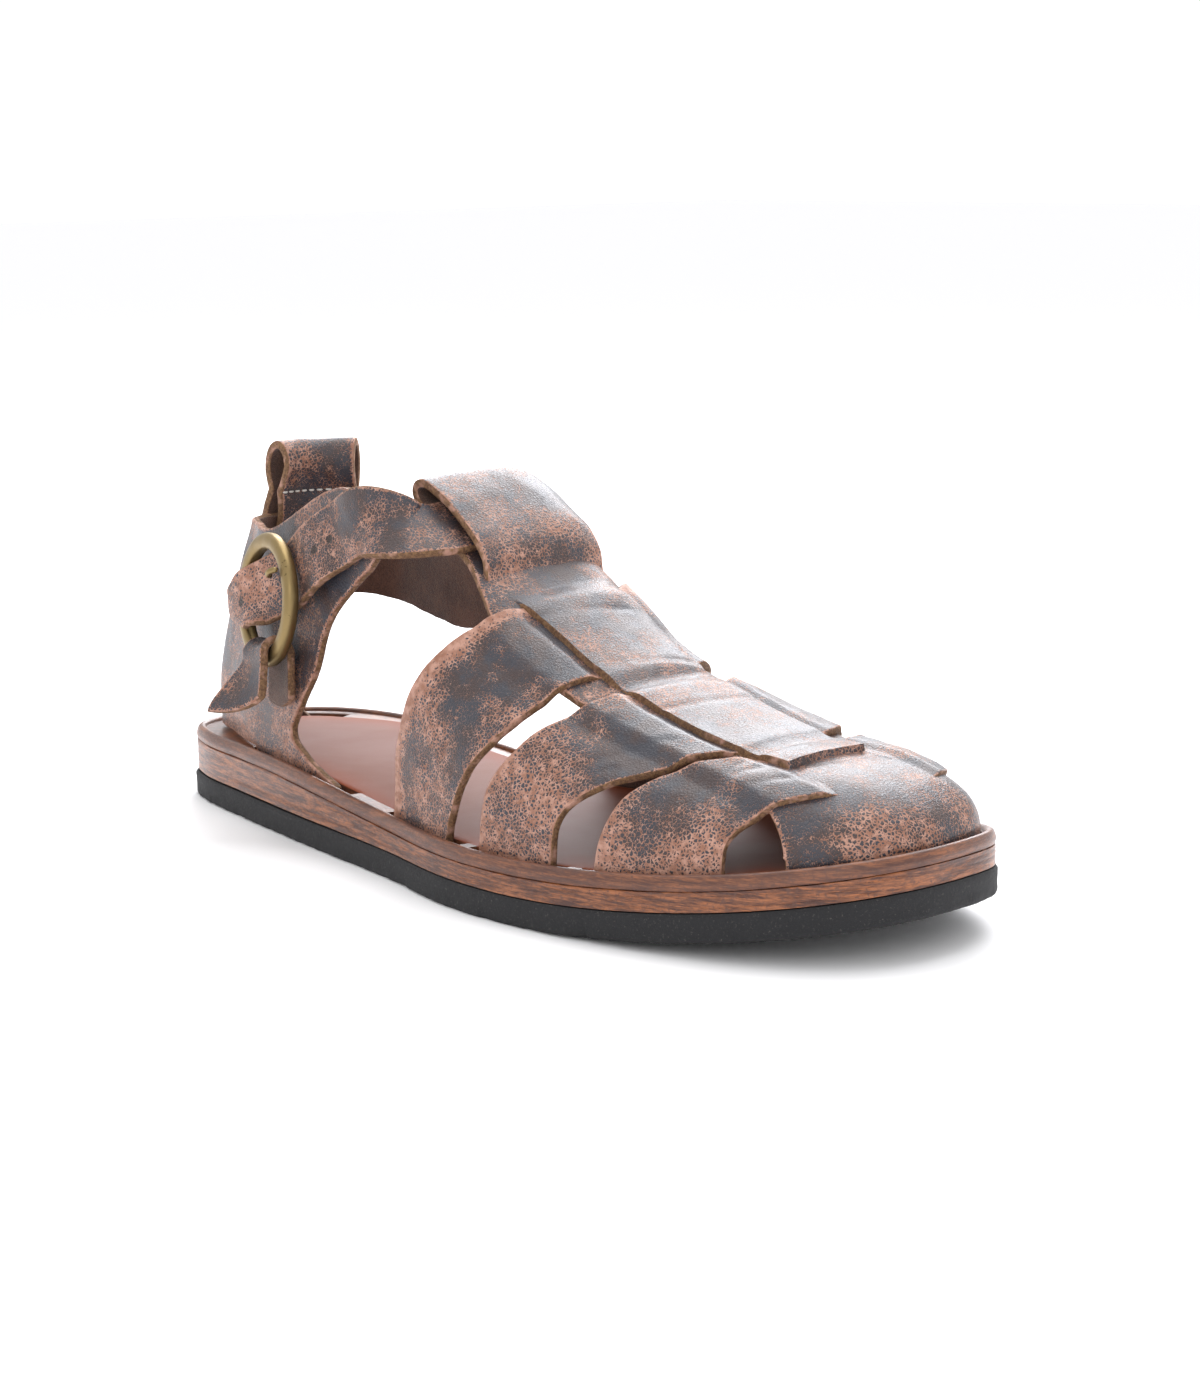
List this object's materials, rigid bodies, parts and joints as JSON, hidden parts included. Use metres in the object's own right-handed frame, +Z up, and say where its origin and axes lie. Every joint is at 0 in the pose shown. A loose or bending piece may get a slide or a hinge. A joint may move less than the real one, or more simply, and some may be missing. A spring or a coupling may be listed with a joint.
{
  "type": "fisherman sandal",
  "caption": "Right-foot fisherman sandal: woven leather vamp, heel counter with ankle strap and ring buckle, slotted leather insole, stacked midsole and rubber outsole.",
  "frame": {"origin": "on the floor, under the middle of the sole's bounding box", "axes": "+X from heel to toe, +Y to the inner (big toe) side, +Z up"},
  "size_m": [0.2894, 0.1055, 0.109],
  "materials": {
    "rubber": "matt black, grainy on its side",
    "stacked_leather": "burnished, streaked brown",
    "insole_leather": "pressed smooth, pale orange brown",
    "crackled_leather": "slate finish crackled over tan leather",
    "aged_brass": "aged, satin"
  },
  "bodies": {
    "root": {"outsole": "rubber", "midsole": "stacked_leather", "insole": "insole_leather", "vamp": "crackled_leather", "heel_counter": "crackled_leather", "ankle_strap": "crackled_leather", "buckle_ring": "aged_brass", "buckle_keeper": "crackled_leather", "pull_loop": "crackled_leather"}
  },
  "joints": []
}
